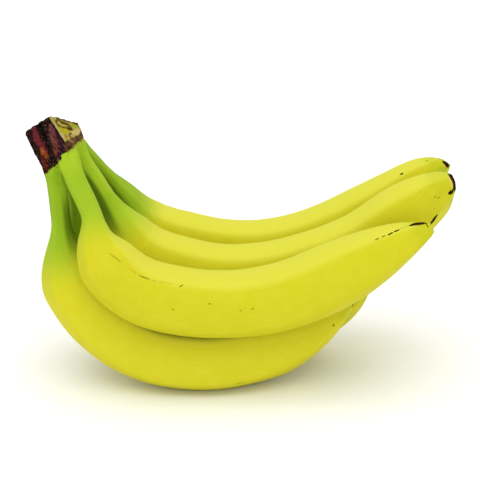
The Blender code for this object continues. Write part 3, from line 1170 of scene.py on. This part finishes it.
@dataclass
class Crown:
    """The stump of stalk tissue that the fruits grow from, trimmed by four knife cuts.

    It runs on below the cut skin as the green web between the stalks, and takes in the top of each stalk.
    """

    frame: CrownFrame
    finish: CrownFinish
    levels: tuple[StumpLevel, ...] = (
        StumpLevel(up=-15, along_row=1.0, across=-6.0, half_row=3.0, half_across=1.6),
        StumpLevel(up=-11, along_row=0.6, across=-4.0, half_row=7.0, half_across=3.6),
        StumpLevel(up=-7, along_row=-0.6, across=-2.6, half_row=10.2, half_across=5.6),
        StumpLevel(up=-3, along_row=-2.2, across=-1.3, half_row=12.6, half_across=8.6),
        StumpLevel(up=0, along_row=-3.3, across=-0.6, half_row=14.1, half_across=11.0),
        StumpLevel(up=3, along_row=-2.4, across=0.0, half_row=15.6, half_across=11.4),
        StumpLevel(up=9, along_row=-1.2, across=1.8, half_row=17.2, half_across=11.2),
        StumpLevel(up=16, along_row=-3.4, across=3.8, half_row=16.0, half_across=10.9),
        StumpLevel(up=26, along_row=-6.4, across=6.2, half_row=14.4, half_across=10.6),
    )
    squareness: float = 3.2
    sides: int = 32
    stub_below: float = 20.0
    stub_rings: int = 14
    stub_sides: int = 24
    # How much thinner than its stalk the lower end of a stub is, inside it.
    stub_drawn_in: float = 0.8
    voxel: float = 0.45
    seed: Seed = (3.1, 7.7, 1.9)

    def stump(self) -> bpy.types.Object:
        """The stump with its four flat cuts."""
        stump = draw_out("crown_block", self.sides, [(level.up, 1.0) for level in self.levels])
        place = read_attribute(stump, PLACE)
        heights = [level.up for level in self.levels]
        sizes = np.array([astuple(level)[1:] for level in self.levels])
        at_levels = [np.interp(place[:, 2], heights, column) for column in sizes.T]
        along_row, across, half_row, half_across = at_levels
        power = 2 / self.squareness
        row = along_row + np.sign(place[:, 0]) * np.abs(place[:, 0]) ** power * half_row
        cross = across + np.sign(place[:, 1]) * np.abs(place[:, 1]) ** power * half_across
        write_points(stump, self.frame.layout(np.stack((row, cross, place[:, 2]), axis=1)))
        apply_modifier(stump, "SUBSURF", levels=1, render_levels=1)
        for cut in CUTS:
            pick(stump)
            bpy.ops.object.mode_set(mode="EDIT")
            bpy.ops.mesh.select_all(action="SELECT")
            point = self.frame.layout(np.array([cut.point]))[0]
            normal = unit(np.array(cut.normal)) @ self.frame.axes
            bpy.ops.mesh.bisect(plane_co=point, plane_no=normal, use_fill=True, clear_outer=True)
            bpy.ops.object.mode_set(mode="OBJECT")
        return stump

    def stub(self, finger: Finger) -> bpy.types.Object:
        """The top of one stalk, a little fuller than the stalk at the crown and thinner further down.

        Args:
            finger: The fruit that it belongs to.

        Returns:
            The stub.
        """
        top = finger.crown_distance(self.frame, finger.joint_top)
        bottom = finger.crown_distance(self.frame, -self.stub_below)
        stations = [(spot, 1.0) for spot in np.linspace(top, bottom, self.stub_rings)]
        stub = draw_out("stub of " + finger.name, self.stub_sides, stations)
        place = read_attribute(stub, PLACE)
        share = (place[:, 2] - top) / (bottom - top)
        thinning = (finger.joint_swell + self.stub_drawn_in) * share
        points = finger.skin(place, thicker=finger.joint_swell - thinning)
        write_points(stub, press_under_cut(points, self.frame))
        return stub

    def build(self, fingers: Sequence[Finger]) -> bpy.types.Object:
        """Makes the crown.

        Args:
            fingers: The fruits that grow from it.

        Returns:
            The crown, dressed and riding on its body.
        """
        crown = self.stump()
        stubs = [self.stub(finger) for finger in fingers]
        pick(crown)
        for stub in stubs:
            stub.select_set(True)
        bpy.ops.object.join()
        crown.name = "crown_tissue"
        crown.data.name = "crown_tissue"
        apply_modifier(crown, "REMESH", mode="VOXEL", voxel_size=self.voxel)
        self.soften(crown)
        self.shape(crown, fingers)
        crown.data.materials.clear()
        crown.data.materials.append(self.finish.material())
        crown.data.shade_smooth()
        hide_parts("crown")
        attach(crown, BODY)
        LOG.info("%s: %d faces", crown.name, len(crown.data.polygons))
        return crown

    def soften(self, crown: bpy.types.Object) -> None:
        """Runs the web and the stalks into each other below the skin of the crown."""
        height = self.frame.local(read_points(crown))[:, 2]
        weights = 1 - smooth_step(-2.0, 1.0, height)
        group = crown.vertex_groups.new(name="web")
        for number, weight in enumerate(weights):
            group.add([number], float(weight), "REPLACE")
        apply_modifier(crown, "SMOOTH", factor=0.6, iterations=24, vertex_group="web")
        crown.vertex_groups.clear()

    def from_stalks(self, points: np.ndarray, fingers: Sequence[Finger]) -> np.ndarray:
        """How far layout points are from the nearest stalk's core line."""
        near = np.full(len(points), np.inf)
        for finger in fingers:
            for spot in finger.line.samples[:130:2]:
                near = np.minimum(near, np.linalg.norm(points - spot, axis=1))
        return near

    def shape(self, crown: bpy.types.Object, fingers: Sequence[Finger]) -> None:
        """Stores where each point is and how deep below the cuts, then carves the cuts and the bark.

        Args:
            crown: The joined stump and stubs, in the layout.
            fingers: The fruits that grow from it.
        """
        points = read_points(crown)
        write_attribute(crown, FROM_STALKS, np.outer(self.from_stalks(points, fingers), (1.0, 0.0, 0.0)))
        place = self.frame.local(points)
        write_attribute(crown, PLACE, place)
        old, fresh, end, shoulder = [cut.depth(place) for cut in CUTS]
        depths = np.stack((old, fresh, np.minimum(end, shoulder)), axis=1)
        write_attribute(crown, CUT_DEPTH, depths)
        write_points(crown, (points + LAYOUT_TO_FRAME) * METRES)
        out = read_normals(crown)
        row, across, up = place.T
        on_old, on_fresh, on_end = [1 - smooth_step(0.3, 1.1, depth) for depth in depths.T]
        above = smooth_step(-1.0, 2.5, up)
        stripe = across - STRAND_SLANT * up
        strand_place = np.stack((stripe, row * 0.6, up * 0.16), axis=1)
        strands = noise_field(strand_place, 1.5, self.seed)
        hollow = 1.5 * np.exp(-(((stripe + 1.8) / 1.5) ** 2)) + 0.9 * np.exp(-(((stripe - 6.0) / 1.6) ** 2))
        old_move = -hollow + 0.45 * strands
        fresh_middle = ((row - 0.5) / 11.0) ** 2 + ((up - 8.8) / 6.0) ** 2
        fresh_move = -1.0 * np.exp(-fresh_middle * 1.2) + 0.25 * noise_field(place, 2.2, self.seed)
        skin_move = 0.5 * noise_field(place, 3.5, self.seed) + 0.22 * noise_field(place, 1.3, self.seed)
        moves = skin_move * above * (1 - on_old) * (1 - on_fresh)
        moves += old_move * on_old + fresh_move * on_fresh * (1 - on_old)
        moves += 0.3 * noise_field(place, 1.0, self.seed) * np.maximum(on_old, on_end) * above
        write_points(crown, read_points(crown) + out * (moves * METRES)[:, None])


@dataclass(frozen=True)
class Studio:
    """Plain pale floor, soft light and the camera, in metres."""

    target: Point = (-0.0014, 0.0, 0.0735)
    distance: float = 0.80
    elevation: float = 20.0
    lens: float = 114.0
    floor_size: float = 8.0
    sky: float = 0.90
    sun_from: Point = (-0.06, -0.30, 0.95)
    sun_strength: float = 1.10
    sun_width: float = 60.0

    def build(self) -> None:
        """Sets up all three."""
        self.add_floor()
        self.add_sun()
        self.add_camera()
        world = bpy.data.worlds.new("studio")
        world.use_nodes = True
        background = world.node_tree.nodes["Background"]
        background.inputs["Color"].default_value = (1.0, 1.0, 1.0, 1.0)
        background.inputs["Strength"].default_value = self.sky
        bpy.context.scene.world = world
        bpy.context.scene.view_settings.view_transform = "Standard"

    def add_floor(self) -> None:
        """A big white sheet at the height that the hand rests on."""
        deselect_all()
        bpy.ops.mesh.primitive_plane_add(size=self.floor_size)
        floor = bpy.context.active_object
        floor.name = "floor"
        paint = Paint("floor")
        paint.shader.inputs["Base Color"].default_value = (0.97, 0.97, 0.97, 1.0)
        paint.shader.inputs["Roughness"].default_value = 1.0
        paint.shader.inputs["Specular IOR Level"].default_value = 0.0
        floor.data.materials.append(paint.material)

    def add_sun(self) -> None:
        """A wide soft light from the front, the left and above."""
        lamp = bpy.data.lights.new("key", "SUN")
        lamp.energy = self.sun_strength
        lamp.angle = math.radians(self.sun_width)
        light = bpy.data.objects.new("key", lamp)
        light.location = self.sun_from
        light.rotation_euler = Vector(self.sun_from).to_track_quat("Z", "Y").to_euler()
        bpy.context.scene.collection.objects.link(light)

    def add_camera(self) -> None:
        """The camera, in front of the hand and a little above it."""
        tilt = math.radians(self.elevation)
        back = Vector((0.0, -math.cos(tilt), math.sin(tilt)))
        lens = bpy.data.cameras.new("camera")
        lens.lens = self.lens
        lens.sensor_width = 36.0
        camera = bpy.data.objects.new("camera", lens)
        camera.location = Vector(self.target) + back * self.distance
        camera.rotation_euler = (-back).to_track_quat("-Z", "Y").to_euler()
        bpy.context.scene.collection.objects.link(camera)
        bpy.context.scene.camera = camera


def fingers() -> tuple[Finger, ...]:
    """The five fruits with their own lines, girths, marks and ripeness."""
    upper_front = Finger(
        name="finger_upper_front",
        core=(
            (-92, -9, 133), (-88, -13, 126), (-82.5, -20, 113.5), (-77.5, -25, 104.5), (-73.5, -29.5, 95.5),
            (-70.7, -33.6, 85.8), (-65.6, -35.6, 76.4), (-53.5, -35.8, 62.6), (-27, -35, 53), (6, -35, 52.6),
            (40, -34.5, 63.2), (72.5, -32, 80), (94, -29, 90.5),
        ),
        belly_radius=17.3,
        stalk_radius=5.4,
        stalk_length=42,
        neck_length=31,
        end_length=60,
        end_power=0.8,
        end_radius=4.2,
        end_lean_back=0.6,
        dead_rim=-2.0,
        inner_swell=(
            (42, -0.04), (48, -0.02), (54, 0.12), (60, 0.34), (67, 0.54), (76, 0.72), (86, 0.84), (97, 0.94),
            (110, 1.0),
        ),
        finish=PeelFinish(green_until=40, yellow_from=66),
        seed=(1.3, 0.0, 4.1),
        marks=(
            Mark(
                Scar.FAINT,
                (
                    (64, 248, 0.3), (69, 240, 0.5), (75, 234.7, 0.3),
                    (83, 230.8, 0.4), (95, 224.3, 0.5), (104, 222.8, 0.3),
                ),
                ragged=0.5,
                soft=0.9,
                broken=True,
            ),
            Mark(Scar.FAINT, ((64.6, 247, 0.3), (67, 243, 0.5), (70, 239, 0.3)), soft=0.8),
            Mark(Scar.BROWN, ((82, 231.2, 0.15), (85, 229, 0.3), (89, 226.8, 0.15)), ragged=0.5, soft=0.8),
            Mark(Scar.BROWN, ((109.4, 225, 0.28), (110.9, 221.4, 0.28)), ragged=0.1),
            speck(108.1, 263.7, 0.32),
            speck(127.0, 246.0, 0.32),
            speck(149.4, 256.9, 0.5, Scar.FAINT),
            speck(143.3, 257.6, 0.45, Scar.FAINT),
            Mark(Scar.BROWN, ((219.8, 220.8, 0.25), (221.2, 220.4, 0.3))),
            Mark(Scar.BROWN, ((223.2, 219.9, 0.3), (224.6, 219.4, 0.3))),
            Mark(Scar.BLACK, ((226.3, 219.7, 0.35), (228.4, 218.4, 0.45))),
            Mark(Scar.BLACK, ((229.9, 217.5, 0.45), (232, 215.5, 0.4))),
            Mark(Scar.FAINT, ((233, 213.6, 0.3), (236.8, 209.2, 0.35))),
            Mark(
                Scar.BLACK,
                ((237.4, 210, 0.4), (239.4, 207, 1.1), (241.5, 206, 1.6), (243, 209, 1.4), (244.2, 216, 0.7)),
            ),
            Mark(Scar.BROWN, ((244, 213, 0.4), (243.9, 230, 0.3), (243.7, 243, 0.3))),
        ),
    )
    upper_middle = Finger(
        name="finger_upper_middle",
        core=(
            (-86.5, 0, 131), (-84.3, 0, 123), (-80.5, 0, 114.8), (-74.8, 0, 105.6), (-67.6, 0, 91.2),
            (-60.2, 0, 77.1), (-53, 0, 67.5), (-42.3, 0, 61.5), (-26.5, 0, 56.3), (-7, 0, 53.3),
            (13, 0, 54.5), (37, 0, 60.4), (66, 0, 73.2), (90, -3, 92.8), (108.4, -9, 108.2),
        ),
        belly_radius=17.0,
        stalk_radius=5.2,
        stalk_length=39,
        neck_length=34,
        end_length=46,
        end_power=0.62,
        end_radius=4.8,
        end_lean_out=0.55,
        end_lean_back=0.6,
        inner_swell=(
            (32, 0.0), (38, 0.06), (45, 0.24), (52, 0.48), (60, 0.76), (68, 0.9), (84, 0.94), (100, 1.0),
        ),
        finish=PeelFinish(green_until=42, yellow_from=72, shades=(Shade(1.0, until=(64.0, 54.0)),)),
        seed=(5.2, 2.0, 0.7),
        marks=(
            speck(245.7, 266.3, 0.45, Scar.FAINT),
            speck(244.8, 259.7, 0.4, Scar.FAINT),
            speck(241.8, 282.0, 0.35, Scar.FAINT),
            Mark(
                Scar.FAINT,
                ((240.5, 228.2, 0.35), (243.4, 227.2, 0.3), (245.8, 227, 0.3), (248.4, 220.7, 0.25)),
                broken=True,
            ),
            Mark(
                Scar.BLACK,
                ((233.9, 313, 0.4), (236.4, 307, 1.6), (238.5, 302.7, 1.2), (240.9, 299.8, 0.4)),
            ),
            Mark(
                Scar.PEACH,
                ((252.4, 214, 0.3), (252.5, 236, 0.4), (252.3, 256, 0.45), (251.9, 266, 0.3)),
            ),
            Mark(
                Scar.BLACK,
                (
                    (253.4, 200, 0.4), (253.5, 225, 0.6), (253.5, 250, 0.7),
                    (253.3, 268, 0.6), (252.8, 280, 0.6),
                ),
                ragged=0.15,
            ),
            Mark(
                Scar.BLACK,
                ((252.8, 280, 0.6), (251.6, 283, 0.8), (250.5, 278.6, 0.8), (251.2, 273, 0.3)),
            ),
        ),
    )
    upper_rear = Finger(
        name="finger_upper_rear",
        core=(
            (-90, 10, 131), (-84, 13, 120.3), (-76.4, 18, 108.9), (-69.6, 24, 97.4), (-63.4, 30, 86),
            (-58.2, 33.5, 75.8), (-51, 35, 68), (-41, 35.3, 62.4), (-22, 35.5, 57.3), (2, 35.5, 54.6),
            (24, 35.3, 56.6), (45.5, 34.8, 63.6), (68.5, 33, 76), (85.5, 31.5, 88.5), (97, 30, 98.8),
            (109, 28, 108.2),
        ),
        belly_radius=17.0,
        stalk_radius=4.9,
        stalk_length=31,
        neck_length=54,
        end_length=60,
        end_power=0.7,
        end_radius=3.8,
        end_lean_out=-0.35,
        end_lean_back=0.5,
        dead_rim=-0.8,
        joint_swell=0.3,
        joint_top=-0.5,
        inner_swell=(
            (31, 0.0), (40, 0.08), (50, 0.26), (58, 0.42), (66, 0.64), (75, 0.86), (86, 0.98), (100, 1.06),
            (120, 1.0),
        ),
        finish=PeelFinish(
            green_until=52,
            yellow_from=84,
            stalk_green=from_srgb(152, 184, 38),
            deep_green=from_srgb(136, 168, 30),
            shades=(Shade(1.0, until=(70.0, 60.0), side=(-0.6, -0.1)),),
        ),
        seed=(8.4, 6.0, 2.7),
        marks=(
            speck(237.8, 213.5, 0.6, Scar.BLACK),
            speck(251.6, 206.0, 0.4),
            Mark(Scar.FAINT, ((244.8, 251, 0.4), (248, 252.4, 0.4), (252.2, 258.9, 0.3)), broken=True),
            Mark(Scar.GREEN, ((253.6, 272, 1.3), (254.8, 292, 1.6))),
            speck(256.2, 286.0, 0.9, Scar.TAN),
            Mark(Scar.BLACK, ((257, 250, 0.5), (257, 275, 0.8), (256.8, 292, 0.7))),
        ),
    )
    lower_front = Finger(
        name="finger_lower_front",
        core=(
            (-97, -7, 125), (-95, -9, 116.5), (-93.2, -10, 102.5), (-92.1, -11.5, 88), (-90.7, -12.5, 74),
            (-87.1, -14.5, 60.4), (-78, -18, 43.6), (-54, -22.5, 24), (-21, -24, 16.9), (12.5, -20, 21.6),
            (40, -14.5, 33.5), (57, -10, 44),
        ),
        belly_radius=17.3,
        stalk_radius=5.0,
        stalk_length=37,
        neck_length=36,
        end_length=52,
        end_power=0.8,
        end_radius=3.8,
        finish=PeelFinish(
            green_until=42,
            yellow_from=76,
            yellow=from_srgb(209, 202, 38),
            pale_yellow=from_srgb(213, 207, 48),
            # Painted shade: the darker stalk green of a stalk kept from the light.
            stalk_green=SHADED_BACK_GREEN,
            deep_green=DEEP_SHADED_BACK_GREEN,
            shades=(Shade(0.85, until=(62.0, 50.0), side=(-0.2, -0.6), start=(19.0, 33.0)),),
        ),
        lies_on_surface=True,
        seed=(2.9, 9.0, 5.5),
        marks=(
            speck(222.2, 286.4, 0.45),
            Mark(Scar.BLACK, ((234.6, 279, 0.4), (235.6, 275, 0.8), (236.4, 268, 0.8))),
            Mark(Scar.FAINT, ((168.5, 300, 0.5), (170.5, 299, 0.3))),
        ),
    )
    lower_rear = Finger(
        name="finger_lower_rear",
        core=(
            (-96.5, 3.5, 125), (-92.3, 5.5, 116), (-88.7, 9, 104), (-87, 12, 92), (-86.5, 15, 81.5),
            (-85.5, 17.5, 71), (-83, 20, 60), (-77.5, 21.5, 48), (-66, 22.5, 33.5), (-48, 23, 23),
            (-25, 23, 17.6), (0, 22.5, 16.8), (22, 22, 19), (40, 20, 25.5), (54, 18.5, 33), (62.8, 17, 40.3),
            (67.8, 16, 46),
        ),
        belly_radius=17.2,
        stalk_radius=4.6,
        stalk_length=36,
        neck_length=38,
        end_length=48,
        end_power=0.8,
        end_radius=3.8,
        finish=PeelFinish(
            green_until=62,
            yellow_from=98,
            # Painted shade: the darker stalk green of a stalk kept from the light.
            stalk_green=SHADED_BACK_GREEN,
            deep_green=DEEP_SHADED_BACK_GREEN,
            shades=(Shade(0.4, until=(66.0, 56.0)),),
        ),
        lies_on_surface=True,
        seed=(4.4, 3.0, 8.8),
    )
    return (upper_front, upper_middle, upper_rear, lower_front, lower_rear)


def main() -> None:
    """Builds the studio, the fruits and the crown."""
    logging.basicConfig(level=logging.INFO, format="%(message)s")
    Studio().build()
    crown_frame = CrownFrame()
    fruits = fingers()
    for finger in fruits:
        finger.build(crown_frame)
    Crown(crown_frame, CrownFinish()).build(fruits)
    deselect_all()


if __name__ == "__main__":
    main()
